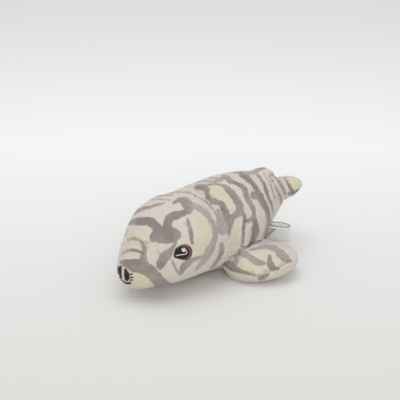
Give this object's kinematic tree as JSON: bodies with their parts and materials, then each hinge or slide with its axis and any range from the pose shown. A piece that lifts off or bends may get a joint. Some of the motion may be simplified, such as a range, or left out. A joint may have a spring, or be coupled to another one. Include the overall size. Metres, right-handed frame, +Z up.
{
  "type": "plush toy",
  "caption": "Stuffed seal pup lying on its belly, in streaked short pile, with swept front flippers, a pair of hind flippers and a stitched face.",
  "frame": {"origin": "centre of the bounding box, on the floor that the belly and the front flippers rest on", "axes": "the nose points to -Y and the hind flippers to +Y, +X is the toy's own left side, +Z is up"},
  "size_m": [0.1254, 0.1723, 0.0695],
  "materials": {
    "streaked_plush": "short velour pile, cream printed with grey-mauve streaks",
    "black_thread": "satin stitch",
    "brown_thread": "satin stitch",
    "white_thread": "satin stitch",
    "white_ribbon": "satin ribbon"
  },
  "bodies": {
    "root": {"head": "streaked_plush", "torso": "streaked_plush", "front_flipper_left": "streaked_plush", "front_flipper_right": "streaked_plush", "hind_flipper_left": "streaked_plush", "hind_flipper_right": "streaked_plush", "eye_pupil_left": "black_thread", "eye_pupil_right": "black_thread", "eye_rim_left": "brown_thread", "eye_rim_right": "brown_thread", "eye_glint_left": "white_thread", "eye_glint_right": "white_thread", "nostril_left": "black_thread", "nostril_right": "black_thread", "mouth_stitch": "black_thread", "whisker_stitch_1_left": "black_thread", "whisker_stitch_1_right": "black_thread", "whisker_stitch_2_left": "black_thread", "whisker_stitch_2_right": "black_thread", "whisker_stitch_3_left": "black_thread", "whisker_stitch_3_right": "black_thread", "side_label": "white_ribbon"}
  },
  "joints": []
}
